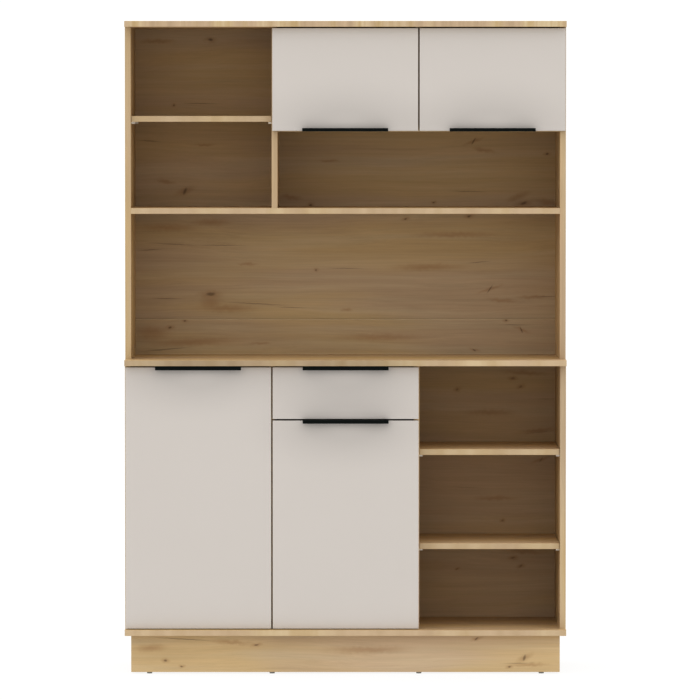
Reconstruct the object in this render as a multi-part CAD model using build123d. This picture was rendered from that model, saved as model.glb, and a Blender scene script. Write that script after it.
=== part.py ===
from build123d import *
import os
from math import sqrt

# Kitchen dresser: a base unit with two doors, a drawer and an open bay, and a hutch with
# two doors, shelves and open niches that stands on its worktop.
# Millimetres. X runs to the right, Y to the back and Z up. The origin is on the floor,
# under the middle of the worktop.

# Overall sizes
unit_width = 1200.0
worktop_depth = 400.0
glide_height = 4.0
plinth_height = 102.0
base_clear_height = 718.0
hutch_side_height = 904.0
hutch_setback = 70.0
plinth_inset = 16.0
plinth_rear_inset = 8.0
plinth_rib_offset = 200.0

# Boards
board = 16.0
back_board = 3.0
front_board = 16.0
edge_radius = 0.8

# Columns and shelf heights
left_column_width = 400.0
open_bay_width = 383.0
niche_height = 396.0
upper_bay_height = 268.0
hutch_left_shelf_lift = 234.5
lower_open_shelf_lift = 217.0
upper_open_shelf_lift = 474.0
left_cupboard_shelf_lift = 350.0
middle_cupboard_shelf_lift = 270.0
shelf_side_gap = 1.0
shelf_rear_gap = 2.0
open_shelf_setback = 10.0
cupboard_shelf_setback = 40.0

# Back boards, and the rail at the foot of the hutch
back_edge_inset = 2.0
back_meeting_gap = 0.5
rear_rail_height = 98.0
rear_rail_joint_lift = 33.0

# Fronts
door_standoff = 3.0
front_reveal = 2.0
front_gap = 4.0
base_fronts_foot_gap = 2.0
base_fronts_head_gap = 3.5
upper_doors_head_gap = 3.0
drawer_front_height = 141.0

# Edge handles
handle_length = 233.0
handle_reach = 19.0
handle_plate = 1.6
handle_lip = 2.0
handle_lip_height = 9.0
handle_flange = 1.5
handle_flange_drop = 18.0
handle_screw_drop = 11.0
handle_screw_inset = 20.0
handle_edge_radius = 0.5

# Concealed hinges
hinge_axis_inset = 7.0
hinge_axis_depth = 8.0
hinge_pin_radius = 1.5
hinge_pin_recess = 0.2
hinge_running_clearance = 0.05
hinge_fixed_clearance = 0.02
cup_radius = 17.5
cup_depth = 12.0
cup_floor = 1.0
cup_rim_inset = 3.0
cup_rim_wall = 1.0
cup_bore_fit = 0.1
cup_flange = 1.2
cup_flange_width = 22.0
cup_flange_length = 58.0
cup_screw_spacing = 48.0
arm_width = 12.0
arm_thickness = 2.4
arm_side_clearance = 0.5
arm_end_clearance = 1.5
arm_eye_wall = 1.0
plate_thickness = 3.5
plate_front_inset = 12.0
plate_length = 48.0
plate_width = 16.0
plate_wing_length = 12.0
plate_wing_width = 46.0
plate_screw_line = 37.0
plate_screw_spacing = 32.0
arm_screw_inset = 9.0
base_hinge_inset = 90.0
upper_hinge_inset = 55.0

# Drawer box and its runners
runner_space = 13.0
drawer_board = 12.0
drawer_bottom_board = 3.0
drawer_box_depth = 340.0
drawer_box_height = 95.0
drawer_box_lift = 12.0
drawer_groove_depth = 5.0
drawer_groove_lift = 8.0
drawer_groove_fit = 0.15
runner_length = 346.0
runner_height = 35.0
runner_depth = 11.0
runner_wall = 1.2
runner_front_inset = 4.0
runner_lift = 50.0
slide_length = 322.0
slide_wall = 1.5
slide_depth = 10.0
slide_clearance = 0.3
slide_front_inset = 14.0
runner_screw_inset = 40.0

# Shelf supports
support_width = 9.5
support_depth = 12.0
support_height = 5.5
support_pin_radius = 2.5
support_pin_length = 8.0
support_inset = 30.0

# Knock-down joints: a cam, its bolt and a dowel
joint_inset = 45.0
hutch_foot_joint_inset = 90.0
dowel_offset = 32.0
dowel_radius = 4.0
dowel_in_face = 10.0
dowel_in_edge = 18.0
cam_distance = 24.0
cam_radius = 7.5
cam_depth = 12.0
cam_bolt_radius = 3.0
cam_bolt_grip = 9.0
cam_cross_length = 7.0
cam_cross_width = 1.6
cam_cross_depth = 3.0
joint_fit = 0.05
blind_end = 1.0

# Floor glides
glide_radius = 7.0
glide_pin_radius = 1.5
glide_pin_length = 14.0
glide_end_inset = 50.0

# Wall brackets
bracket_thickness = 2.0
bracket_width = 24.0
bracket_leg = 32.0
wall_hole_radius = 2.75
wall_hole_spacing = 400.0
wall_hole_drop = 20.0
bracket_screw_inset = 20.0

# Screws, each as shank radius, length, head radius and head height
small_screw = (1.5, 11.0, 3.0, 1.0)
plate_screw = (1.75, 14.0, 3.4, 2.0)
joining_screw = (2.0, 22.0, 4.0, 2.2)
arm_screw = (2.0, 5.4, 3.5, 2.0)
back_pin = (0.8, 15.0, 2.2, 0.8)
screw_fit = 0.05
cross_length = 3.6
cross_width = 0.9
cross_depth = 0.7
back_pin_spacing = 150.0
back_pin_end_inset = 30.0

# Levels, from the floor up
plinth_top = glide_height + plinth_height
bottom_top = plinth_top + board
worktop_under = bottom_top + base_clear_height
worktop_top = worktop_under + board
long_shelf_under = worktop_top + niche_height
long_shelf_top = long_shelf_under + board
hutch_top_under = worktop_top + hutch_side_height
upper_bay_floor = hutch_top_under - upper_bay_height
upper_bay_under = upper_bay_floor - board

# Lines across the depth
front_overhang = door_standoff + front_board + handle_reach
worktop_front = -worktop_depth / 2
rear = worktop_depth / 2
board_rear = rear - back_board
base_front = worktop_front + front_overhang
hutch_front = worktop_front + hutch_setback
top_front = hutch_front - front_overhang

# Lines across the width
side = unit_width / 2
inner_side = side - board
left_divider_middle = -side + left_column_width
left_divider = (left_divider_middle - board / 2, left_divider_middle + board / 2)
right_divider = (inner_side - open_bay_width - board, inner_side - open_bay_width)
hutch_divider = (-inner_side + open_bay_width, -inner_side + open_bay_width + board)

# Edges of the fronts
left_door_span = (-side + front_reveal, left_divider_middle - front_gap / 2)
middle_span = (left_divider_middle + front_gap / 2, right_divider[1] - front_reveal)
upper_doors_left = hutch_divider[0] + front_reveal
upper_doors_right = side - front_reveal
upper_doors_middle = (upper_doors_left + upper_doors_right) / 2
upper_left_span = (upper_doors_left, upper_doors_middle - front_gap / 2)
upper_right_span = (upper_doors_middle + front_gap / 2, upper_doors_right)
base_fronts_top = worktop_under - base_fronts_head_gap
base_fronts_foot = bottom_top + base_fronts_foot_gap
drawer_front_foot = base_fronts_top - drawer_front_height
middle_door_top = drawer_front_foot - front_gap
upper_doors_top = hutch_top_under - upper_doors_head_gap
upper_doors_foot = upper_bay_under + front_reveal
partition = (upper_doors_middle - board / 2, upper_doors_middle + board / 2)

pieces = {}
cuts = {}


def add(name, *shapes):
    """Adds solids to a named piece or group of like pieces."""
    for shape in shapes:
        pieces.setdefault(name, []).extend(shape.solids())


def cut(name, *tools):
    """Keeps tools that are cut from a named piece when it is written."""
    cuts.setdefault(name, []).extend(tools)


def block(x, y, z):
    """A box between two limits on each axis."""
    size = Box(x[1] - x[0], y[1] - y[0], z[1] - z[0], align=(Align.MIN, Align.MIN, Align.MIN))
    return Pos(x[0], y[0], z[0]) * size


def rod(start, along, length, radius):
    """A cylinder from a point along a direction."""
    place = Plane(origin=tuple(start), z_dir=tuple(along))
    return place * Cylinder(radius, length, align=(Align.CENTER, Align.CENTER, Align.MIN))


def cross_recess(top, away, length, width, depth):
    """The cross for a driver, sunk in the face of a screw's head or a cam."""
    bars = Box(length, width, depth) + Box(width, length, depth)
    return Plane(origin=tuple(top), z_dir=tuple(away)) * Pos(0, 0, -depth / 2) * bars


def fasten(group, seat, into, size, names, place=Location(), driven=True):
    """A screw, or a plain pin, with its head on the seat and its hole in each named piece."""
    shank_radius, length, head_radius, head_height = size
    seat, into = Vector(seat), Vector(into)
    shape = rod(seat, into, length, shank_radius) + rod(seat, -into, head_height, head_radius)
    if driven:
        shape -= cross_recess(seat - into * head_height, -into, cross_length, cross_width, cross_depth)
    add(group, place * shape)
    hole = rod(seat, into, length + blind_end, shank_radius + screw_fit)
    for name in names:
        cut(name, place * hole)


def rounded_front(shape, axis):
    """Softens the front edges of a board that run along an axis."""
    return fillet(shape.edges().filter_by(axis).group_by(Axis.Y)[0], edge_radius)


def shelf_board(name, x, y, z_under):
    add(name, rounded_front(block(x, y, (z_under, z_under + board)), Axis.X))


def upright_board(name, x, y, z):
    add(name, rounded_front(block(x, y, z), Axis.Z))


def knock_down_joint(edge_board, face_board, point, into, face, along):
    """A cam, bolt and dowel that hold the end of one board to the face of another."""
    point, into, face, along = Vector(point), Vector(into), Vector(face), Vector(along)
    cam_seat = point + into * cam_distance + face * (board / 2)
    bolt_start = point - into * cam_bolt_grip
    bolt_bore = rod(point, into, cam_distance + cam_radius, cam_bolt_radius + joint_fit)
    cross = cross_recess(cam_seat, face, cam_cross_length, cam_cross_width, cam_cross_depth)
    add("cam_fittings", rod(cam_seat, -face, cam_depth, cam_radius) - bolt_bore - cross)
    add("cam_fittings", rod(bolt_start, into, cam_bolt_grip + cam_distance, cam_bolt_radius))
    cut(edge_board, rod(cam_seat, -face, cam_depth + joint_fit, cam_radius + joint_fit))
    cut(edge_board, rod(point, into, cam_distance, cam_bolt_radius + joint_fit))
    cut(face_board, rod(point, -into, cam_bolt_grip + blind_end, cam_bolt_radius + joint_fit))
    foot = point + along * dowel_offset
    add("dowels", rod(foot - into * dowel_in_face, into, dowel_in_face + dowel_in_edge, dowel_radius))
    cut(edge_board, rod(foot, into, dowel_in_edge + blind_end, dowel_radius + joint_fit))
    cut(face_board, rod(foot, -into, dowel_in_face + blind_end, dowel_radius + joint_fit))


def upright_joints(name, x, y, faces, face, inset=joint_inset):
    """Joints at the ends of an upright: each of faces is a board, its level and its way in."""
    middle = (x[0] + x[1]) / 2
    for board_name, level, way in faces:
        into = (0, 0, way)
        knock_down_joint(name, board_name, (middle, y[0] + inset, level), into, face, (0, 1, 0))
        knock_down_joint(name, board_name, (middle, y[1] - inset, level), into, face, (0, -1, 0))


def shelf_end_joints(name, y, z_under, ends, face):
    """Joints at the ends of a fixed shelf: each of ends is a board, its face and its way in."""
    level = z_under + board / 2
    for board_name, x, way in ends:
        into = (way, 0, 0)
        knock_down_joint(name, board_name, (x, y[0] + joint_inset, level), into, face, (0, 1, 0))
        knock_down_joint(name, board_name, (x, y[1] - joint_inset, level), into, face, (0, -1, 0))


def loose_shelf(name, bay, bay_boards, y_front, z_under):
    """A shelf that lies on four supports, which plug into the boards at its ends."""
    y = (y_front, board_rear - shelf_rear_gap)
    shelf_board(name, (bay[0] + shelf_side_gap, bay[1] - shelf_side_gap), y, z_under)
    z = (z_under - support_height, z_under)
    for x, way, board_name in ((bay[0], 1, bay_boards[0]), (bay[1], -1, bay_boards[1])):
        for middle in (y[0] + support_inset, y[1] - support_inset):
            span = sorted((x, x + way * support_width))
            foot = block(span, (middle - support_depth / 2, middle + support_depth / 2), z)
            pin_start = (x, middle, z_under - support_height / 2)
            pin = rod(pin_start, (-way, 0, 0), support_pin_length, support_pin_radius)
            add("shelf_supports", foot + pin)
            hole_length = support_pin_length + blind_end
            cut(board_name, rod(pin_start, (-way, 0, 0), hole_length, support_pin_radius + joint_fit))


def plinth():
    x = (-side + plinth_inset, side - plinth_inset)
    z = (glide_height, plinth_top)
    front_y = (base_front, base_front + board)
    back_y = (board_rear - plinth_rear_inset - board, board_rear - plinth_rear_inset)
    add("plinth_front", rounded_front(block(x, front_y, z), Axis.Z))
    add("plinth_back", block(x, back_y, z))
    between = (front_y[1], back_y[0])
    rib_middles = (-plinth_rib_offset, plinth_rib_offset)
    for middle in (x[0] + board / 2, *rib_middles, x[1] - board / 2):
        add("plinth_cross_boards", block((middle - board / 2, middle + board / 2), between, z))
    glide_lines = (x[0] + glide_end_inset, *rib_middles, x[1] - glide_end_inset)
    for name, y in (("plinth_front", front_y), ("plinth_back", back_y)):
        for line in glide_lines:
            middle = (y[0] + y[1]) / 2
            disc = rod((line, middle, 0), (0, 0, 1), glide_height, glide_radius)
            pin_start = (line, middle, glide_height)
            pin = rod(pin_start, (0, 0, 1), glide_pin_length, glide_pin_radius)
            add("floor_glides", disc + pin)
            hole = rod(pin_start, (0, 0, 1), glide_pin_length + blind_end, glide_pin_radius + joint_fit)
            cut(name, hole)


def base_carcass():
    deep = (worktop_front, board_rear)
    y = (base_front, board_rear)
    z = (bottom_top, worktop_under)
    shelf_board("bottom_panel", (-side, side), deep, plinth_top)
    shelf_board("worktop", (-side, side), deep, worktop_under)
    ends = (("bottom_panel", bottom_top, 1), ("worktop", worktop_under, -1))
    uprights = (
        ("base_left_side", (-side, -inner_side), (1, 0, 0)),
        ("base_left_divider", left_divider, (-1, 0, 0)),
        ("base_right_divider", right_divider, (-1, 0, 0)),
        ("base_right_side", (inner_side, side), (-1, 0, 0)),
    )
    for name, x, face in uprights:
        upright_board(name, x, y, z)
        upright_joints(name, x, y, ends, face)
    open_bay = (right_divider[1], inner_side)
    open_boards = ("base_right_divider", "base_right_side")
    open_y = base_front + open_shelf_setback
    loose_shelf("lower_open_shelf", open_bay, open_boards, open_y, bottom_top + lower_open_shelf_lift)
    loose_shelf("upper_open_shelf", open_bay, open_boards, open_y, bottom_top + upper_open_shelf_lift)
    cupboard_y = base_front + cupboard_shelf_setback
    left_bay = (-inner_side, left_divider[0])
    left_boards = ("base_left_side", "base_left_divider")
    left_z = bottom_top + left_cupboard_shelf_lift
    loose_shelf("left_cupboard_shelf", left_bay, left_boards, cupboard_y, left_z)
    middle_bay = (left_divider[1], right_divider[0])
    middle_boards = ("base_left_divider", "base_right_divider")
    middle_z = bottom_top + middle_cupboard_shelf_lift
    loose_shelf("middle_cupboard_shelf", middle_bay, middle_boards, cupboard_y, middle_z)


def hutch_carcass():
    y = (hutch_front, board_rear)
    z = (worktop_top, hutch_top_under)
    shelf_board("hutch_top", (-side, side), (top_front, board_rear), hutch_top_under)
    for name, x, face in (
        ("hutch_left_side", (-side, -inner_side), (1, 0, 0)),
        ("hutch_right_side", (inner_side, side), (-1, 0, 0)),
    ):
        upright_board(name, x, y, z)
        upright_joints(name, x, y, (("worktop", worktop_top, 1),), face, hutch_foot_joint_inset)
        upright_joints(name, x, y, (("hutch_top", hutch_top_under, -1),), face)
    shelf_board("hutch_long_shelf", (-inner_side, inner_side), y, long_shelf_under)
    long_ends = (("hutch_left_side", -inner_side, 1), ("hutch_right_side", inner_side, -1))
    shelf_end_joints("hutch_long_shelf", y, long_shelf_under, long_ends, (0, 0, -1))
    upright_board("hutch_divider", hutch_divider, y, (long_shelf_top, hutch_top_under))
    divider_ends = (("hutch_long_shelf", long_shelf_top, 1), ("hutch_top", hutch_top_under, -1))
    upright_joints("hutch_divider", hutch_divider, y, divider_ends, (1, 0, 0))
    bay = (hutch_divider[1], inner_side)
    shelf_board("upper_bay_bottom", bay, y, upper_bay_under)
    bay_ends = (("hutch_divider", bay[0], 1), ("hutch_right_side", bay[1], -1))
    shelf_end_joints("upper_bay_bottom", y, upper_bay_under, bay_ends, (0, 0, 1))
    upright_board("upper_bay_partition", partition, y, (upper_bay_floor, hutch_top_under))
    partition_ends = (("upper_bay_bottom", upper_bay_floor, 1), ("hutch_top", hutch_top_under, -1))
    upright_joints("upper_bay_partition", partition, y, partition_ends, (1, 0, 0))
    left_bay = (-inner_side, hutch_divider[0])
    left_boards = ("hutch_left_side", "hutch_divider")
    left_z = long_shelf_top + hutch_left_shelf_lift
    loose_shelf("hutch_left_shelf", left_bay, left_boards, hutch_front + open_shelf_setback, left_z)


def rear_rail():
    """The rail on the worktop that ties the hutch's sides together, in front of its back board."""
    z = (worktop_top, worktop_top + rear_rail_height)
    rail = block((-inner_side, inner_side), (board_rear - board, board_rear), z)
    add("hutch_rear_rail", rounded_front(rail, Axis.X))
    for name, x, way in (("hutch_left_side", -inner_side, 1), ("hutch_right_side", inner_side, -1)):
        point = (x, board_rear - board / 2, worktop_top + rear_rail_joint_lift)
        knock_down_joint("hutch_rear_rail", name, point, (way, 0, 0), (0, 1, 0), (0, 0, 1))


def spaced(start, end, spacing):
    """Even steps from start to end, about a spacing apart."""
    steps = max(1, round((end - start) / spacing))
    return [start + (end - start) * step / steps for step in range(steps + 1)]


def back_panel(name, z, uprights, flats):
    """A thin back board, pinned to the rear edges of boards given by name and middle."""
    add(name, block((-side + back_edge_inset, side - back_edge_inset), (board_rear, rear), z))
    levels = spaced(z[0] + back_pin_end_inset, z[1] - back_pin_end_inset, back_pin_spacing)
    lines = spaced(-side + back_pin_end_inset, side - back_pin_end_inset, back_pin_spacing)
    places = [(upright, middle, level) for upright, middle in uprights for level in levels]
    places += [(flat, line, level) for flat, level in flats for line in lines]
    for board_name, x, level in places:
        seat = (x, rear - back_pin[3], level)
        fasten("back_pins", seat, (0, -1, 0), back_pin, (name, board_name), driven=False)
        cut(name, rod(seat, (0, 1, 0), back_pin[3], back_pin[2] + screw_fit))


def back_panels():
    """Two back boards that cover the rear edges of the carcass and meet behind the worktop."""
    outer = side - board / 2
    meeting = worktop_under + board / 2
    base_z = (plinth_top + back_edge_inset, meeting - back_meeting_gap / 2)
    hutch_z = (meeting + back_meeting_gap / 2, hutch_top_under + board - back_edge_inset)
    base_uprights = (
        ("base_left_side", -outer),
        ("base_left_divider", left_divider_middle),
        ("base_right_divider", (right_divider[0] + right_divider[1]) / 2),
        ("base_right_side", outer),
    )
    base_flats = (("bottom_panel", plinth_top + board / 2), ("worktop", worktop_under + board / 4))
    hutch_uprights = (("hutch_left_side", -outer), ("hutch_right_side", outer))
    hutch_flats = (("worktop", worktop_top - board / 4), ("hutch_top", hutch_top_under + board / 2))
    back_panel("base_back", base_z, base_uprights, base_flats)
    back_panel("hutch_back", hutch_z, hutch_uprights, hutch_flats)


def edge_handle(name, screws, front, span, back_y, edge, way):
    """A folded handle over the edge of a front: way is 1 on a top edge and -1 on a foot edge."""
    middle = (span[0] + span[1]) / 2
    x = (middle - handle_length / 2, middle + handle_length / 2)
    tip = back_y - front_board - handle_reach
    flange_rear = back_y + handle_flange
    outer = edge + way * handle_plate
    flange_z = sorted((edge - way * handle_flange_drop, outer))
    lip_z = sorted((outer - way * handle_lip_height, outer))
    plate = block(x, (tip, flange_rear), sorted((edge, outer)))
    flange = block(x, (back_y, flange_rear), flange_z)
    lip = block(x, (tip, tip + handle_lip), lip_z)
    profile = (plate + flange + lip).solid()
    add(name, fillet(profile.edges().filter_by(Axis.X).group_by(Axis.Y)[0], handle_edge_radius))
    for line in (x[0] + handle_screw_inset, x[1] - handle_screw_inset):
        seat = (line, flange_rear, edge - way * handle_screw_drop)
        fasten(screws, seat, (0, -1, 0), small_screw, (name, front))


def front_panel(name, span, back_y, z):
    panel = block(span, (back_y - front_board, back_y), z)
    add(name, fillet(panel.faces().sort_by(Axis.Y)[0].edges(), edge_radius))


# The hinge is drawn in its own frame: u in from the door's hinged edge, v from the door's
# back face towards its front, and w along the axis.
cup_middle = cup_rim_inset + cup_radius
panel_face = board - front_reveal
arm_face = panel_face + plate_thickness
arm_back = arm_face + arm_thickness
slot_half = arm_width / 2 + arm_side_clearance
plate_front = -door_standoff - plate_front_inset
plate_end = plate_front - plate_length
plate_screws_v = -door_standoff - plate_screw_line


def hinge_cup():
    slot_u = (cup_rim_inset + cup_rim_wall, arm_back + arm_end_clearance)
    slot = block(slot_u, (-cup_flange, cup_depth - cup_floor), (-slot_half, slot_half))
    flange_u = (cup_middle - cup_flange_width / 2, cup_middle + cup_flange_width / 2)
    flange_w = (-cup_flange_length / 2, cup_flange_length / 2)
    flange = block(flange_u, (-cup_flange, 0), flange_w)
    cup = rod((cup_middle, 0, 0), (0, 1, 0), cup_depth, cup_radius) + flange - slot
    cup -= hinge_pin(hinge_fixed_clearance)
    for w in (-cup_screw_spacing / 2, cup_screw_spacing / 2):
        seat = (cup_middle, -cup_flange, w)
        cup -= rod(seat, (0, 1, 0), cup_flange, small_screw[0] + screw_fit)
    return cup


def hinge_pin(clearance=0.0):
    reach = cup_middle - hinge_axis_inset + hinge_pin_radius
    half = sqrt(cup_radius**2 - reach**2) - hinge_pin_recess + clearance
    start = (hinge_axis_inset, hinge_axis_depth, -half)
    return rod(start, (0, 0, 1), 2 * half, hinge_pin_radius + clearance)


def hinge_arm():
    w = (-arm_width / 2, arm_width / 2)
    eye_radius = hinge_pin_radius + arm_eye_wall
    eye = rod((hinge_axis_inset, hinge_axis_depth, w[0]), (0, 0, 1), arm_width, eye_radius)
    leaf_v = (hinge_axis_depth - arm_thickness / 2, hinge_axis_depth + arm_thickness / 2)
    leaf = block((hinge_axis_inset, arm_back), leaf_v, w)
    neck = block((arm_face, arm_back), (plate_end, leaf_v[1]), w)
    bore_radius = hinge_pin_radius + hinge_running_clearance
    bore = rod((hinge_axis_inset, hinge_axis_depth, w[0]), (0, 0, 1), arm_width, bore_radius)
    screw_hole = rod((arm_back, plate_end + arm_screw_inset, 0), (-1, 0, 0), arm_thickness,
                     arm_screw[0] + screw_fit)
    return eye + leaf + neck - bore - screw_hole


def hinge_plate():
    u = (panel_face, arm_face)
    bar = block(u, (plate_end, plate_front), (-plate_width / 2, plate_width / 2))
    wing_v = (plate_screws_v - plate_wing_length / 2, plate_screws_v + plate_wing_length / 2)
    plate = bar + block(u, wing_v, (-plate_wing_width / 2, plate_wing_width / 2))
    for w in (-plate_screw_spacing / 2, plate_screw_spacing / 2):
        seat = (arm_face, plate_screws_v, w)
        plate -= rod(seat, (-1, 0, 0), plate_thickness, plate_screw[0] + screw_fit)
    arm_seat = (arm_face, plate_end + arm_screw_inset, 0)
    plate -= rod(arm_seat, (-1, 0, 0), plate_thickness, arm_screw[0] + screw_fit)
    return plate


def hinges(door, panel, edge_x, back_y, levels, hand):
    """The hinges of one door: hand is 1 where it hangs on its left edge, -1 on its right."""
    for level in levels:
        place = Plane(origin=(edge_x, back_y, level), x_dir=(hand, 0, 0), z_dir=(0, 0, -hand))
        add(door + "_hinge_cups", place * hinge_cup(), place * hinge_pin())
        add("hinge_arms", place * hinge_arm())
        add("hinge_plates", place * hinge_plate())
        bore = rod((cup_middle, 0, 0), (0, 1, 0), cup_depth + cup_bore_fit, cup_radius + cup_bore_fit)
        cut(door, place * bore)
        for w in (-cup_screw_spacing / 2, cup_screw_spacing / 2):
            fasten(door + "_screws", (cup_middle, -cup_flange, w), (0, 1, 0), small_screw, (door,), place)
        for w in (-plate_screw_spacing / 2, plate_screw_spacing / 2):
            seat = (arm_face, plate_screws_v, w)
            fasten("hardware_screws", seat, (-1, 0, 0), plate_screw, (panel,), place)
        arm_seat = (arm_back, plate_end + arm_screw_inset, 0)
        fasten("hardware_screws", arm_seat, (-1, 0, 0), arm_screw, (), place)


def door(name, panel, span, carcass_front, z, hand, hinge_inset, handle_way):
    back_y = carcass_front - door_standoff
    front_panel(name, span, back_y, z)
    edge_x = span[0] if hand > 0 else span[1]
    hinges(name, panel, edge_x, back_y, (z[0] + hinge_inset, z[1] - hinge_inset), hand)
    handle_edge = z[1] if handle_way > 0 else z[0]
    edge_handle(name + "_handle", name + "_screws", name, span, back_y, handle_edge, handle_way)


def doors():
    left_z = (base_fronts_foot, base_fronts_top)
    middle_z = (base_fronts_foot, middle_door_top)
    upper_z = (upper_doors_foot, upper_doors_top)
    door("left_door", "base_left_side", left_door_span, base_front, left_z, 1, base_hinge_inset, 1)
    door("middle_door", "base_right_divider", middle_span, base_front, middle_z, -1, base_hinge_inset, 1)
    door("upper_left_door", "hutch_divider", upper_left_span, hutch_front, upper_z, 1,
         upper_hinge_inset, -1)
    door("upper_right_door", "hutch_right_side", upper_right_span, hutch_front, upper_z, -1,
         upper_hinge_inset, -1)


def drawer():
    back_y = base_front - door_standoff
    front_panel("drawer_front", middle_span, back_y, (drawer_front_foot, base_fronts_top))
    edge_handle("drawer_handle", "drawer_screws", "drawer_front", middle_span, back_y, base_fronts_top, 1)
    outer = (left_divider[1] + runner_space, right_divider[0] - runner_space)
    inner = (outer[0] + drawer_board, outer[1] - drawer_board)
    y = (back_y, back_y + drawer_box_depth)
    inner_y = (y[0] + drawer_board, y[1] - drawer_board)
    foot = drawer_front_foot + drawer_box_lift
    z = (foot, foot + drawer_box_height)
    add("drawer_left_side", block((outer[0], inner[0]), y, z))
    add("drawer_right_side", block((inner[1], outer[1]), y, z))
    add("drawer_inner_front", block(inner, (y[0], inner_y[0]), z))
    add("drawer_back", block(inner, (inner_y[1], y[1]), z))
    drawer_bottom(inner, inner_y, foot + drawer_groove_lift)
    drawer_box_screws(inner, outer, y, inner_y, z)
    for name, x, way, divider in (
        ("left", left_divider[1], 1, "base_left_divider"),
        ("right", right_divider[0], -1, "base_right_divider"),
    ):
        runner_pair(x, way, divider, "drawer_" + name + "_side", y, foot + runner_lift)


def drawer_bottom(inner, inner_y, under):
    reach = drawer_groove_depth - drawer_groove_fit
    x = (inner[0] - reach, inner[1] + reach)
    y = (inner_y[0] - reach, inner_y[1] + reach)
    add("drawer_bottom", block(x, y, (under, under + drawer_bottom_board)))
    groove_x = (inner[0] - drawer_groove_depth, inner[1] + drawer_groove_depth)
    groove_y = (inner_y[0] - drawer_groove_depth, inner_y[1] + drawer_groove_depth)
    groove_z = (under - drawer_groove_fit, under + drawer_bottom_board + drawer_groove_fit)
    groove = block(groove_x, groove_y, groove_z)
    for name in ("drawer_left_side", "drawer_right_side", "drawer_inner_front", "drawer_back"):
        cut(name, groove)


def drawer_box_screws(inner, outer, y, inner_y, z):
    """Screws that hold the box's corners, and its front from inside."""
    levels = (z[0] + drawer_box_height / 4, z[1] - drawer_box_height / 8)
    for level in levels:
        for board_name, line in (
            ("drawer_inner_front", y[0] + drawer_board / 2),
            ("drawer_back", y[1] - drawer_board / 2),
        ):
            left_names = ("drawer_left_side", board_name)
            right_names = ("drawer_right_side", board_name)
            fasten("drawer_screws", (outer[0], line, level), (1, 0, 0), joining_screw, left_names)
            fasten("drawer_screws", (outer[1], line, level), (-1, 0, 0), joining_screw, right_names)
        for line in (inner[0] + runner_screw_inset, inner[1] - runner_screw_inset):
            names = ("drawer_inner_front", "drawer_front")
            fasten("drawer_screws", (line, inner_y[0], level), (0, -1, 0), joining_screw, names)


def runner_pair(x, way, divider, box_side, box_y, level):
    """A channel on the divider and the slide on the drawer that runs inside it."""
    y = (base_front + runner_front_inset, base_front + runner_front_inset + runner_length)
    half = runner_height / 2
    channel = block(sorted((x, x + way * runner_depth)), y, (level - half, level + half))
    hollow_x = sorted((x + way * runner_wall, x + way * runner_depth))
    hollow_half = half - runner_wall
    channel -= block(hollow_x, y, (level - hollow_half, level + hollow_half))
    add("cabinet_runners", channel)
    box_face = x + way * runner_space
    slide_y = (box_y[0] + slide_front_inset, box_y[0] + slide_front_inset + slide_length)
    slide_half = hollow_half - slide_clearance
    rail = block(sorted((box_face - way * slide_depth, box_face)), slide_y,
                 (level - slide_half, level + slide_half))
    rail_hollow = sorted((box_face - way * slide_depth, box_face - way * slide_wall))
    rail_half = slide_half - slide_wall
    rail -= block(rail_hollow, slide_y, (level - rail_half, level + rail_half))
    add("drawer_slides", rail)
    for line in (y[0] + runner_screw_inset, y[1] - runner_screw_inset):
        seat = (x + way * runner_wall, line, level)
        fasten("hardware_screws", seat, (-way, 0, 0), small_screw, ("cabinet_runners", divider))
    for line in (slide_y[0] + runner_screw_inset, slide_y[1] - runner_screw_inset):
        seat = (box_face - way * slide_wall, line, level)
        fasten("drawer_screws", seat, (way, 0, 0), small_screw, ("drawer_slides", box_side))


def wall_brackets():
    """Angles under the hutch's top, with a hole each for a screw into the wall behind."""
    for middle in (upper_doors_middle - wall_hole_spacing / 2, upper_doors_middle + wall_hole_spacing / 2):
        x = (middle - bracket_width / 2, middle + bracket_width / 2)
        upright_y = (board_rear - bracket_thickness, board_rear)
        upright = block(x, upright_y, (hutch_top_under - bracket_leg, hutch_top_under))
        flat_y = (board_rear - bracket_leg, board_rear)
        flat = block(x, flat_y, (hutch_top_under - bracket_thickness, hutch_top_under))
        hole_start = (middle, upright_y[0], hutch_top_under - wall_hole_drop)
        hole = rod(hole_start, (0, 1, 0), bracket_thickness + back_board, wall_hole_radius)
        add("wall_brackets", upright + flat - hole)
        cut("hutch_back", hole)
        seat = (middle, board_rear - bracket_screw_inset, hutch_top_under - bracket_thickness)
        fasten("hardware_screws", seat, (0, 0, 1), small_screw, ("wall_brackets", "hutch_top"))


def write_pieces():
    os.makedirs("parts", exist_ok=True)
    for name, solids in pieces.items():
        if name in cuts:
            solids = [part for solid in solids for part in (solid - cuts[name]).solids()]
        shape = solids[0] if len(solids) == 1 else Compound(children=solids)
        export_step(shape, f"parts/{name}.step")
        print(name, len(solids))


plinth()
base_carcass()
hutch_carcass()
rear_rail()
back_panels()
doors()
drawer()
wall_brackets()
write_pieces()
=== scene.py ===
from math import radians

import bpy
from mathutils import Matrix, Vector


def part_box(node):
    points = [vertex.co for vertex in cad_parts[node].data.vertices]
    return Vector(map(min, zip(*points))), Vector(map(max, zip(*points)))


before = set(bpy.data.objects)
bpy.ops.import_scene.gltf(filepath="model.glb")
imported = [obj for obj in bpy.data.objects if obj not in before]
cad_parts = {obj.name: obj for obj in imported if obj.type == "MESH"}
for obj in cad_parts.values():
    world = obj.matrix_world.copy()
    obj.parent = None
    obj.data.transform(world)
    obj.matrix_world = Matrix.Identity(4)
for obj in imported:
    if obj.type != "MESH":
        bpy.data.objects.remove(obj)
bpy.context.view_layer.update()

# The looks of a kitchen dresser: oak-print boards, warm grey fronts and black edge handles,
# on a white floor in soft light. Places are metres in the part's own frame.

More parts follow.
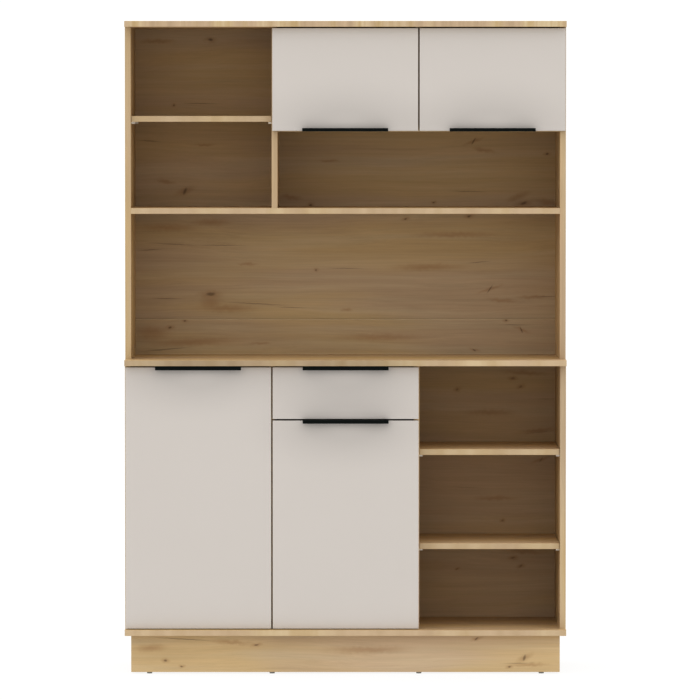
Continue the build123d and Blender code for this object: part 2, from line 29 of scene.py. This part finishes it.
# CAD nodes that share a material.
LONG_FLATS = ["bottom_panel", "hutch_long_shelf", "upper_bay_bottom"]
LOOSE_SHELVES = [
    "hutch_left_shelf", "lower_open_shelf", "upper_open_shelf", "left_cupboard_shelf",
    "middle_cupboard_shelf",
]
UPRIGHTS = [
    "base_left_side", "base_right_side", "hutch_left_side", "hutch_right_side", "hutch_divider",
    "upper_bay_partition",
]
BASE_DIVIDERS = ["base_left_divider", "base_right_divider"]
DOORS = ["left_door", "middle_door", "upper_left_door", "upper_right_door"]
BLACK = [door + "_handle" for door in DOORS] + ["drawer_handle"]
STEEL = [
    "hinge_arms", "hinge_plates", "wall_brackets", "cabinet_runners", "drawer_slides",
    "back_pins", "hardware_screws", "drawer_screws",
    *[door + "_screws" for door in DOORS], *[door + "_hinge_cups" for door in DOORS],
]
DRAWER_BOARDS = ["drawer_left_side", "drawer_right_side", "drawer_inner_front", "drawer_back"]


def linear(red, green, blue):
    """A colour given as 0 to 255 on a screen, as the linear colour that nodes take."""
    shares = (red / 255, green / 255, blue / 255)
    return (*[s / 12.92 if s <= 0.04045 else ((s + 0.055) / 1.055) ** 2.4 for s in shares], 1.0)


# Colours. Where there are two, a noise goes from the first to the second.
WHITE = (1.0, 1.0, 1.0, 1.0)
OAK_GOLD = linear(198, 174, 134)
OAK_ROSE = linear(192, 170, 144)
OAK_PALE = linear(206, 191, 162)
OAK_RUST = linear(150, 112, 76)
OAK_KNOT = linear(72, 60, 50)
HARDBOARD_TONES = linear(134, 102, 72), linear(162, 127, 93)
FRONT_TONES = linear(201, 195, 189), linear(203, 197, 191)
BLACK_TONES = linear(9, 15, 13), linear(14, 20, 18)
STEEL_TONES = linear(176, 177, 175), linear(196, 197, 195)
ZINC_TONES = linear(150, 151, 154), linear(172, 173, 175)
WHITE_PLASTIC_TONES = linear(244, 244, 240), linear(250, 250, 246)
GREY_PLASTIC_TONES = linear(112, 112, 108), linear(128, 128, 124)
SHEET_TONES = linear(220, 217, 210), linear(228, 225, 219)
BEECH_TONES = linear(196, 160, 116), linear(214, 182, 140)
LINED_TONES = linear(206, 201, 194), linear(216, 211, 204)

# How light the oak is on each kind of board and edge band, and how deep its colour is on faces.
BACK_TONE = 0.95
# Painted shade: the back is darker behind the tall niche.
NICHE_PAINTED_SHADE_TONE = 0.87
RAIL_TONE = 0.82
FLAT_TONE = 1.0
# Painted light: the loose shelves' faces are lighter than the other boards'.
SHELF_PAINTED_LIGHT_TONE = 1.12
WALL_TONE = 0.96
EDGE_TONE = 0.99
SHELF_EDGE_TONE = 0.93
UPRIGHT_EDGE_TONE = 0.94
# Painted light: the base dividers' edge bands are paler, where they show in the gaps between the
# fronts.
DIVIDER_EDGE_PAINTED_LIGHT_TONE = 1.35
FACE_DEPTH = 1.13

# Painted shade round the handles: how deep it is on the fronts and on the worktop's edge,
# the share of its reach that stays clear on the fronts, and its reach.
FRONT_PAINTED_SHADE = 0.13
EDGE_PAINTED_SHADE = 0.28
FRONT_CLEAR = 0.35
PAINTED_SHADE_HALF_LENGTH = 0.326
PAINTED_SHADE_HALF_HEIGHT = 0.152

# Noise: its middle, the span that most of it keeps to, and a narrower one for harder changes.
MIDDLE = 0.5
SPAN = (0.3, 0.7)
NARROW_SPAN = (0.35, 0.65)

# The oak print: spots to the metre along the grain and across it, and how far they change the tone.
DRIFT_SPOTS = (1.3, 5, 5)
GRAIN_BEND = 0.06
HUE_SPOTS = (1.1, 9, 9)
PALE_SPOTS = (1.5, 38, 38)
CLOUD_SPOTS, CLOUD_DEPTH = (2.2, 6, 6), 0.2
BAND_SPOTS, BAND_DEPTH = (1.6, 60, 60), 0.18
STREAK_SPOTS, STREAK_DEPTH = (4, 260, 260), 0.22
FIBRE_SPOTS, FIBRE_DEPTH = (14, 1300, 1300), 0.12

# Blocks along an edge band: the usual shares of pale and of rose in them.
BLOCK_PALE = 0.4
BLOCK_ROSE = 0.45

# Marks on a board: how strong they are, and how far a knot's halo outgrows the knot.
MARKS_STRENGTH = 0.5
BASE_MARKS_STRENGTH = 0.28
HALO_STRENGTH = 0.4
HALO_LENGTH = 3
HALO_HEIGHT = 2.4
MARK_SPOTS = (70, 70, 70)
FAR_OFF = 10.0
THROUGH_BOARD = 1000.0
MM = 0.001

# From where to where a face turns to the front or the rear, as a share of its normal.
FACING = (0.6, 0.9)

# Light, floor and camera.
SKY_LEVEL = 1.05
SKY_RISE = 0.6
SKY_LEFT = 0.25
FLOOR_LEVEL = 1.04
FLOOR_SHARE = 0.1
FLOOR_HALF = 60.0
VIEW_GAMMA = 0.8
EYE = (0.0, -14.9, 1.504)
AIM = (0.0123, -0.2, 0.8842)
LENS = 278.97
SENSOR = 36.0


class Nodes:
    """Builds the node tree of one material."""

    def __init__(self, name):
        self.material = bpy.data.materials.new(name)
        self.material.use_nodes = True
        self.tree = self.material.node_tree
        self.tree.nodes.clear()
        self.shader = self.add("ShaderNodeBsdfPrincipled")
        output = self.add("ShaderNodeOutputMaterial")
        self.tree.links.new(self.shader.outputs["BSDF"], output.inputs["Surface"])
        coordinates = self.add("ShaderNodeTexCoord")
        self.place = coordinates.outputs["Object"]
        self.normal = coordinates.outputs["Normal"]

    def add(self, kind, **settings):
        node = self.tree.nodes.new(kind)
        for key, value in settings.items():
            setattr(node, key, value)
        return node

    def put(self, socket, value):
        """Links another node's output to a socket, or sets a plain value on it."""
        if isinstance(value, bpy.types.NodeSocket):
            self.tree.links.new(value, socket)
        else:
            socket.default_value = value

    def set(self, name, value):
        self.put(self.shader.inputs[name], value)

    def math(self, operation, *values):
        node = self.add("ShaderNodeMath", operation=operation)
        for socket, value in zip(node.inputs, values):
            self.put(socket, value)
        return node.outputs[0]

    def vector(self, operation, a, b=(0, 0, 0)):
        node = self.add("ShaderNodeVectorMath", operation=operation)
        self.put(node.inputs[0], a)
        self.put(node.inputs[1], b)
        return node.outputs["Value" if operation == "LENGTH" else "Vector"]

    def split(self, value):
        node = self.add("ShaderNodeSeparateXYZ")
        self.put(node.inputs[0], value)
        return node.outputs

    def join(self, x, y, z):
        node = self.add("ShaderNodeCombineXYZ")
        for socket, value in zip(node.inputs, (x, y, z)):
            self.put(socket, value)
        return node.outputs[0]

    def mix(self, share, a, b):
        node = self.add("ShaderNodeMix", data_type="RGBA")
        self.put(node.inputs[0], share)
        self.put(node.inputs[6], a)
        self.put(node.inputs[7], b)
        return node.outputs[2]

    def range(self, value, low, high, to_low=0.0, to_high=1.0):
        """Maps low to high smoothly onto two other values, and stays at them outside."""
        node = self.add("ShaderNodeMapRange", interpolation_type="SMOOTHSTEP")
        for socket, number in zip(node.inputs, (value, low, high, to_low, to_high)):
            self.put(socket, number)
        return node.outputs[0]

    def noise(self, place, spots, detail=2.0, roughness=0.5):
        """Noise with so many spots to the metre along each axis."""
        node = self.add("ShaderNodeTexNoise")
        self.put(node.inputs["Vector"], self.vector("MULTIPLY", place, spots))
        self.put(node.inputs["Scale"], 1.0)
        self.put(node.inputs["Detail"], detail)
        self.put(node.inputs["Roughness"], roughness)
        return node.outputs[0]

    def sway(self, value, noise, depth):
        """Lets a value swing with a noise, by a share of how far the noise is off its middle."""
        return self.math("MULTIPLY_ADD", self.math("SUBTRACT", noise, MIDDLE), depth, value)

    def shade(self, colour, value, depth=1.0):
        """Makes a colour lighter or darker, and deeper or paler."""
        node = self.add("ShaderNodeHueSaturation")
        self.put(node.inputs["Saturation"], depth)
        self.put(node.inputs["Value"], value)
        self.put(node.inputs["Color"], colour)
        return node.outputs[0]

    def bump(self, height, depth):
        node = self.add("ShaderNodeBump")
        self.put(node.inputs["Height"], height)
        self.put(node.inputs["Distance"], depth)
        self.put(node.inputs["Strength"], 1.0)
        self.set("Normal", node.outputs[0])


def grain_place(nodes, along):
    """The place on a board, with its first axis along the grain."""
    if along == "X":
        return nodes.place
    x, y, z = nodes.split(nodes.place)
    return nodes.join(z, y, x) if along == "Z" else nodes.join(y, x, z)


def oak_print(nodes, place, tone, rosy=0.0):
    """The printed oak: it drifts between gold and rose, with long soft bands, streaks and fibres.

    A rosy above or below zero leans the drift to rose or to gold.
    """
    drift = nodes.math("SUBTRACT", nodes.noise(place, DRIFT_SPOTS), MIDDLE)
    bend = nodes.math("MULTIPLY", drift, GRAIN_BEND)
    bent = nodes.vector("ADD", place, nodes.join(0.0, bend, bend))
    hue = nodes.math("ADD", nodes.noise(bent, HUE_SPOTS), rosy)
    pale = nodes.noise(bent, PALE_SPOTS)
    colour = nodes.mix(nodes.range(hue, *NARROW_SPAN, 0.1, 0.9), OAK_GOLD, OAK_ROSE)
    colour = nodes.mix(nodes.range(pale, 0.4, 0.8, 0.0, 0.4), colour, OAK_PALE)
    clouds = nodes.noise(bent, CLOUD_SPOTS)
    bands = nodes.noise(bent, BAND_SPOTS)
    streaks = nodes.noise(bent, STREAK_SPOTS, 3.0, 0.6)
    fibres = nodes.noise(bent, FIBRE_SPOTS)
    value = nodes.sway(tone, clouds, CLOUD_DEPTH)
    value = nodes.sway(value, bands, BAND_DEPTH)
    value = nodes.sway(value, streaks, STREAK_DEPTH)
    value = nodes.sway(value, fibres, FIBRE_DEPTH)
    return nodes.shade(colour, value), fibres


def oak_finish(nodes, colour, fibres):
    nodes.set("Base Color", colour)
    nodes.set("Roughness", nodes.range(fibres, *SPAN, 0.56, 0.68))
    nodes.set("Specular IOR Level", 0.02)
    nodes.bump(fibres, 0.00006)


def marks_share(nodes, foot, marks, wobble, soft):
    """How far a place is inside any of some long marks on a board.

    A mark has its middle, X and the height above the board's foot, then its half length and half
    height, all in millimetres, and its tilt in degrees.
    """
    ragged = nodes.math("SUBTRACT", nodes.noise(nodes.place, MARK_SPOTS, 3.0), MIDDLE)
    ragged = nodes.math("MULTIPLY", ragged, wobble)
    lowered = nodes.math("SUBTRACT", ragged, foot)
    place = nodes.vector("ADD", nodes.place, nodes.join(ragged, 0.0, lowered))
    nearest = FAR_OFF
    for x, z, length, height, tilt in marks:
        local = nodes.add("ShaderNodeMapping", vector_type="TEXTURE")
        nodes.put(local.inputs["Vector"], place)
        nodes.put(local.inputs["Location"], (x * MM, 0.0, z * MM))
        nodes.put(local.inputs["Rotation"], (0.0, -radians(tilt), 0.0))
        nodes.put(local.inputs["Scale"], (length * MM, THROUGH_BOARD, height * MM))
        nearest = nodes.math("MINIMUM", nearest, nodes.vector("LENGTH", local.outputs[0]))
    return nodes.range(nearest, 1.0, soft)


def facing_front(nodes):
    """Whether a face looks to the front or the rear, where boards have their edge bands."""
    return nodes.range(nodes.math("ABSOLUTE", nodes.split(nodes.normal)[1]), *FACING)


def painted_shade_round_handles(nodes, depth, clear=0.0):
    """Painted shade that softly falls round each handle, on the fronts and on the worktop's edge.

    It may leave a share of its reach clear, close to the handle, where the handle's own shade is.
    """
    x, _, z = nodes.split(nodes.place)
    # Each handle darkens the colour round it: painted shade.
    tone = 1.0
    for handle in BLACK:
        low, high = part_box(handle)
        along = nodes.math("SUBTRACT", x, (low[0] + high[0]) / 2)
        along = nodes.math("DIVIDE", along, PAINTED_SHADE_HALF_LENGTH)
        up = nodes.math("SUBTRACT", z, (low[2] + high[2]) / 2)
        up = nodes.math("DIVIDE", up, PAINTED_SHADE_HALF_HEIGHT)
        reach = nodes.vector("LENGTH", nodes.join(along, up, 0.0))
        fall = nodes.range(reach, 0.0, 1.0, depth, 0.0)
        if clear:
            fall = nodes.math("MULTIPLY", fall, nodes.range(reach, 0.0, clear))
        tone = nodes.math("SUBTRACT", tone, fall)
    return tone


def oak_flat(name, blocks, block_share, face_tone, edge_tone, edge_painted_shade=0.0):
    """Boards that lie flat: grain along their length, and an edge band with soft short blocks.

    There are so many blocks to the metre, and the share says how far they differ. The edge band
    may carry painted shade round the handles.
    """
    nodes = Nodes(name)
    colour, fibres = oak_print(nodes, grain_place(nodes, "X"), 1.0)
    face = nodes.shade(colour, face_tone, FACE_DEPTH)
    pale = nodes.noise(nodes.place, (blocks, 6, 6))
    rose = nodes.noise(nodes.place, (0.3 * blocks, 2, 2), 1.0)
    paled = nodes.range(pale, *SPAN, BLOCK_PALE - block_share, BLOCK_PALE + block_share)
    rosed = nodes.range(rose, *NARROW_SPAN, BLOCK_ROSE - block_share, BLOCK_ROSE + block_share)
    band = nodes.mix(rosed, nodes.mix(paled, OAK_GOLD, OAK_PALE), OAK_ROSE)
    value = nodes.sway(edge_tone, pale, block_share)
    # Painted shade round the handles on the edge band.
    if edge_painted_shade:
        value = nodes.math("MULTIPLY", value, painted_shade_round_handles(nodes, edge_painted_shade))
    band = nodes.shade(band, value)
    oak_finish(nodes, nodes.mix(facing_front(nodes), face, band), fibres)
    return nodes.material


def oak_standing(name, along, edge_tone):
    """Boards that stand: grain up their height or along their length, and plainer edge bands."""
    nodes = Nodes(name)
    colour, fibres = oak_print(nodes, grain_place(nodes, along), 1.0)
    face = nodes.shade(colour, WALL_TONE, FACE_DEPTH)
    band = nodes.shade(colour, edge_tone)
    oak_finish(nodes, nodes.mix(facing_front(nodes), face, band), fibres)
    return nodes.material


def oak_marked(board, nodes, print_and_fibres, strength, knots, smudges, cracks):
    """A long board with its grain along X, and the knots, smudges and cracks that show on it."""
    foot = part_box(board)[0][2]
    colour, fibres = print_and_fibres
    halos = [
        (x, z, HALO_LENGTH * length, HALO_HEIGHT * height, tilt / HALO_LENGTH)
        for x, z, length, height, tilt in knots
    ]
    # Marks, how far their outline wobbles, where their soft rim ends, strength and paint.
    layers = (
        (halos, 0.012, 0.0, HALO_STRENGTH, OAK_RUST),
        (smudges, 0.012, 0.0, HALO_STRENGTH, OAK_RUST),
        (cracks, 0.0025, 0.0, strength, OAK_KNOT),
        (knots, 0.004, 0.3, strength, OAK_KNOT),
    )
    for marks, wobble, soft, most, paint in layers:
        share = nodes.math("MULTIPLY", marks_share(nodes, foot, marks, wobble, soft), most)
        colour = nodes.mix(share, colour, paint)
    oak_finish(nodes, colour, fibres)


def height_on(nodes, board):
    """How far up a board a place is, from the board's foot."""
    return nodes.math("SUBTRACT", nodes.split(nodes.place)[2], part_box(board)[0][2])


def hardboard_rear(nodes):
    """Gives a back its plain brown rear face, with pressed fibres and soft stains."""
    front = nodes.shader.inputs["Base Color"].links[0].from_socket
    chips = nodes.noise(nodes.place, (420, 420, 420), 4.0, 0.7)
    stains = nodes.noise(nodes.place, (4, 4, 9), 4.0, 0.6)
    board = nodes.mix(nodes.range(chips, *SPAN), *HARDBOARD_TONES)
    board = nodes.shade(board, nodes.range(stains, *SPAN, 0.96, 1.04))
    behind = nodes.range(nodes.split(nodes.normal)[1], *FACING)
    nodes.set("Base Color", nodes.mix(behind, front, board))
    return nodes.material


def hutch_back():
    """Painted shade: darker behind the tall niche, under the long shelf."""
    board = "hutch_back"
    nodes = Nodes("oak_hutch_back")
    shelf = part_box("hutch_long_shelf")[0][2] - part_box(board)[0][2]
    # Painted shade below the long shelf.
    tone = nodes.range(height_on(nodes, board), shelf - 0.01, shelf + 0.02, NICHE_PAINTED_SHADE_TONE, BACK_TONE)
    oak = oak_print(nodes, grain_place(nodes, "X"), tone)
    knots = (
        (-375, 175, 17, 7, 0), (-82, 242, 4, 3, 20), (402, 189, 18, 2.6, 55), (344, 392, 7, 4, 20),
        (167, 384, 6, 3, 30), (-375, 882, 9, 5, 0), (-477, 700, 3, 3, 0), (-446, 462, 14, 6, 65),
        (356, 600, 14, 3, 60), (561, 565, 6, 4, 30), (496, 428, 13, 5, 20), (-97, 422, 6, 5, 30),
        (245, 430, 4, 3, 0),
    )
    smudges = (
        (230, 250, 140, 14, 1), (-273, 259, 40, 7, 0), (-330, 135, 110, 16, 0),
        (-375, 150, 45, 30, 0), (435, 158, 60, 8, -4), (520, 167, 60, 7, 1),
        (-375, 375, 70, 14, 0), (3, 131, 24, 7, 0), (-520, 878, 70, 9, 0), (-500, 488, 40, 9, -8),
        (-393, 590, 40, 6, 0), (385, 576, 50, 9, -10), (560, 432, 60, 14, -8),
        (-153, 444, 45, 10, -5), (-45, 546, 40, 6, 0), (480, 446, 50, 14, 20),
        (-500, 360, 120, 16, 0), (300, 340, 160, 12, 0),
    )
    cracks = (
        (-480, 314, 85, 2, -3), (-345, 311, 95, 1.8, 0), (-545, 298, 42, 2.2, 3),
        (-500, 163, 60, 1.8, -1), (-245, 148, 115, 2.2, -3), (372, 264, 45, 1.8, 5),
        (0, 247, 70, 1.6, -1), (-545, 601, 45, 2.2, -3), (-405, 705, 70, 1.6, -1),
        (340, 461, 70, 1.8, -1), (560, 168, 55, 1.6, 1), (-150, 138, 60, 1.6, -2),
    )
    oak_marked(board, nodes, oak, MARKS_STRENGTH, knots, smudges, cracks)
    return hardboard_rear(nodes)


def base_back():
    """A little rosier than the rest, with fainter marks."""
    nodes = Nodes("oak_base_back")
    oak = oak_print(nodes, grain_place(nodes, "X"), BACK_TONE, 0.06)
    knots = (
        (467, 681, 8, 4, 10), (489, 658, 7, 4, 40), (311, 649, 6, 4, 40), (546, 454, 14, 3, 55),
        (438, 283, 4, 4, 0), (467, 179, 8, 4, 10), (489, 156, 7, 4, 40), (311, 148, 4, 2.5, 40),
        (-375, 416, 12, 5, 0), (-100, 196, 8, 4, 20),
    )
    smudges = (
        (535, 534, 80, 9, 6), (400, 586, 110, 12, 0), (500, 696, 90, 10, -3),
        (420, 346, 90, 10, 0), (500, 196, 90, 10, -3),
    )
    cracks = (
        (560, 623, 40, 1.8, 0), (540, 530, 60, 1.6, 5), (330, 376, 80, 1.6, -2),
        (-400, 496, 100, 2, 3),
    )
    oak_marked("base_back", nodes, oak, BASE_MARKS_STRENGTH, knots, smudges, cracks)
    return hardboard_rear(nodes)


def rear_rail():
    """Painted highlight: a paler line along its top and its foot."""
    board = "hutch_rear_rail"
    nodes = Nodes("oak_rail")
    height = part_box(board)[1][2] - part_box(board)[0][2]
    # Painted highlight: paler lines along the top and the foot.
    middle = nodes.math("SUBTRACT", height_on(nodes, board), height / 2)
    edge = nodes.range(nodes.math("ABSOLUTE", middle), height / 2 - 0.003, height / 2 - 0.001)
    colour, fibres = oak_print(nodes, grain_place(nodes, "X"), RAIL_TONE)
    oak = nodes.mix(nodes.math("MULTIPLY", edge, 0.6), colour, OAK_PALE), fibres
    knots = (
        (-488, 75, 7, 4, 20), (-447, 93, 5, 3, 0), (447, 94, 5, 3, 0), (489, 68, 12, 3, -65),
        (358, 12, 8, 3, -40),
    )
    smudges = (
        (-236, 30, 40, 6, 0), (-420, 34, 180, 16, 3), (100, 48, 160, 14, 0), (-540, 60, 70, 30, 0),
    )
    cracks = ((-500, 14, 95, 3, 5), (470, 82, 60, 1.6, -1))
    oak_marked(board, nodes, oak, MARKS_STRENGTH, knots, smudges, cracks)
    return nodes.material


def plinth_front():
    """Gold towards its ends and rosy between."""
    board = "plinth_front"
    nodes = Nodes("oak_plinth")
    across = nodes.math("ABSOLUTE", nodes.split(nodes.place)[0])
    rosy = nodes.range(across, 0.15, 0.45, 0.1, -0.16)
    oak = oak_print(nodes, grain_place(nodes, "X"), 1.0, rosy)
    knots = (
        (-491, 31, 6, 4, -20), (-447, 15, 5, 3, 0), (-243, 74, 8, 3, 10), (488, 39, 12, 5, 72),
        (357, 91, 8, 3, 40), (447, 14, 5, 3, 0),
    )
    smudges = (
        (-310, 81, 80, 10, -4), (-530, 66, 60, 16, 3), (60, 61, 160, 16, 0), (500, 20, 80, 8, 0),
    )
    cracks = ((-440, 90, 110, 2.2, -3.5), (470, 24, 60, 1.6, 1))
    oak_marked(board, nodes, oak, MARKS_STRENGTH, knots, smudges, cracks)
    return nodes.material


def front_decor():
    """The fronts: warm grey melamine with a faint pearl grain."""
    nodes = Nodes("front_decor")
    cloud = nodes.noise(nodes.place, (5, 5, 5))
    pearl = nodes.noise(nodes.place, (1500, 1500, 1500), 2.0, 0.6)
    # Painted shade round the handles darkens the fronts.
    value = nodes.sway(painted_shade_round_handles(nodes, FRONT_PAINTED_SHADE, FRONT_CLEAR), pearl, 0.05)
    nodes.set("Base Color", nodes.shade(nodes.mix(cloud, *FRONT_TONES), value))
    nodes.set("Roughness", nodes.range(pearl, *SPAN, 0.48, 0.58))
    nodes.set("Specular IOR Level", 0.35)
    nodes.bump(pearl, 0.00004)
    return nodes.material


def speckled(name, tones, spots, roughness, depth, metallic=0.0):
    """A finish with a fine even grain: moulded plastic, coated board, cast or plated metal."""
    nodes = Nodes(name)
    grain = nodes.noise(nodes.place, (spots, spots, spots), 3.0, 0.6)
    nodes.set("Base Color", nodes.mix(nodes.range(grain, *SPAN), *tones))
    nodes.set("Roughness", nodes.range(grain, *SPAN, roughness - 0.06, roughness + 0.06))
    nodes.set("Metallic", metallic)
    nodes.bump(grain, depth)
    return nodes.material


def black_coat():
    """The handles' powder coat: nearly black and a little green, with a fine orange peel."""
    nodes = Nodes("black_coat")
    peel = nodes.noise(nodes.place, (1800, 1800, 1800), 3.0, 0.6)
    nodes.set("Base Color", nodes.mix(nodes.range(peel, *SPAN), *BLACK_TONES))
    nodes.set("Roughness", nodes.range(peel, *SPAN, 0.42, 0.54))
    nodes.set("Specular IOR Level", 0.1)
    nodes.bump(peel, 0.00004)
    return nodes.material


def plain_wood(name, tones):
    """Beech and the drawer's boards: short fine fibres."""
    nodes = Nodes(name)
    fibres = nodes.noise(nodes.place, (500, 40, 500), 3.0, 0.6)
    clouds = nodes.noise(nodes.place, (12, 3, 12))
    share = nodes.math("MULTIPLY_ADD", clouds, 0.5, nodes.math("MULTIPLY", fibres, 0.5))
    nodes.set("Base Color", nodes.mix(nodes.range(share, *NARROW_SPAN), *tones))
    nodes.set("Roughness", nodes.range(fibres, *SPAN, 0.5, 0.62))
    nodes.bump(fibres, 0.00005)
    return nodes.material


def dress(names, material):
    """Gives one material to CAD nodes by name."""
    for name in names:
        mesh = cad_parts[name].data
        mesh.materials.clear()
        mesh.materials.append(material)


def dress_part():
    dress(LONG_FLATS, oak_flat("oak_long", 24, 0.28, FLAT_TONE, EDGE_TONE))
    # The worktop's edge band carries painted shade round the handles.
    dress(["worktop"], oak_flat("oak_worktop", 24, 0.28, FLAT_TONE, EDGE_TONE, EDGE_PAINTED_SHADE))
    dress(["hutch_top"], oak_flat("oak_top", 60, 0.45, FLAT_TONE, EDGE_TONE))
    # Painted light: the loose shelves' faces are lighter.
    dress(LOOSE_SHELVES, oak_flat("oak_shelf", 24, 0.2, SHELF_PAINTED_LIGHT_TONE, SHELF_EDGE_TONE))
    dress(UPRIGHTS, oak_standing("oak_upright", "Z", UPRIGHT_EDGE_TONE))
    # Painted light: the dividers' edge bands are paler.
    dress(BASE_DIVIDERS, oak_standing("oak_divider", "Z", DIVIDER_EDGE_PAINTED_LIGHT_TONE))
    dress(["plinth_back"], oak_standing("oak_plinth_back", "X", UPRIGHT_EDGE_TONE))
    dress(["plinth_cross_boards"], oak_standing("oak_plinth_side", "Y", UPRIGHT_EDGE_TONE))
    dress(["plinth_front"], plinth_front())
    dress(["hutch_rear_rail"], rear_rail())
    dress(["base_back"], base_back())
    dress(["hutch_back"], hutch_back())
    dress(DOORS + ["drawer_front"], front_decor())
    dress(BLACK, black_coat())
    dress(STEEL, speckled("plated_steel", STEEL_TONES, 700, 0.32, 0.00001, 1.0))
    dress(["cam_fittings"], speckled("cast_zinc", ZINC_TONES, 500, 0.45, 0.00003, 1.0))
    dress(["shelf_supports"], speckled("white_plastic", WHITE_PLASTIC_TONES, 900, 0.4, 0.00002))
    dress(["floor_glides"], speckled("grey_plastic", GREY_PLASTIC_TONES, 900, 0.5, 0.00003))
    dress(["drawer_bottom"], speckled("drawer_sheet", SHEET_TONES, 300, 0.55, 0.00002))
    dress(["dowels"], plain_wood("beech", BEECH_TONES))
    dress(DRAWER_BOARDS, plain_wood("drawer_board", LINED_TONES))


def floor():
    """A wide white floor. It glows too, to be as white as the sky and to keep shadows faint."""
    nodes = Nodes("floor")
    tones = [(*[FLOOR_SHARE * tone] * 3, 1.0) for tone in (0.97, 1.03)]
    nodes.set("Base Color", nodes.mix(nodes.noise(nodes.place, (3, 3, 3)), *tones))
    nodes.set("Roughness", 0.9)
    nodes.set("Specular IOR Level", 0.0)
    nodes.set("Emission Color", WHITE)
    nodes.set("Emission Strength", FLOOR_LEVEL - FLOOR_SHARE * (SKY_LEVEL + SKY_RISE * 2 / 3))
    mesh = bpy.data.meshes.new("floor")
    corners = [(x * FLOOR_HALF, y * FLOOR_HALF, 0) for x, y in ((-1, -1), (1, -1), (1, 1), (-1, 1))]
    mesh.from_pydata(corners, [], [(0, 1, 2, 3)])
    mesh.materials.append(nodes.material)
    plane = bpy.data.objects.new("floor", mesh)
    bpy.context.scene.collection.objects.link(plane)


def light():
    """White surroundings, brighter overhead and to the left."""
    world = bpy.data.worlds.new("studio")
    world.use_nodes = True
    tree = world.node_tree
    direction = tree.nodes.new("ShaderNodeTexCoord")
    lean = tree.nodes.new("ShaderNodeVectorMath")
    lean.operation = "DOT_PRODUCT"
    lean.inputs[1].default_value = (-SKY_LEFT, 0.0, SKY_RISE)
    level = tree.nodes.new("ShaderNodeMath")
    level.inputs[1].default_value = SKY_LEVEL
    background = tree.nodes["Background"]
    background.inputs["Color"].default_value = WHITE
    tree.links.new(direction.outputs["Generated"], lean.inputs[0])
    tree.links.new(lean.outputs["Value"], level.inputs[0])
    tree.links.new(level.outputs[0], background.inputs["Strength"])
    bpy.context.scene.world = world
    view = bpy.context.scene.view_settings
    view.view_transform = "Standard"
    view.gamma = VIEW_GAMMA


def camera():
    """A long lens, straight from the front and a little above the middle."""
    lens = bpy.data.cameras.new("camera")
    lens.sensor_width = SENSOR
    lens.lens = LENS
    eye = bpy.data.objects.new("camera", lens)
    eye.location = EYE
    eye.rotation_euler = (Vector(AIM) - eye.location).to_track_quat("-Z", "Y").to_euler()
    bpy.context.scene.collection.objects.link(eye)
    bpy.context.scene.camera = eye


dress_part()
floor()
light()
camera()
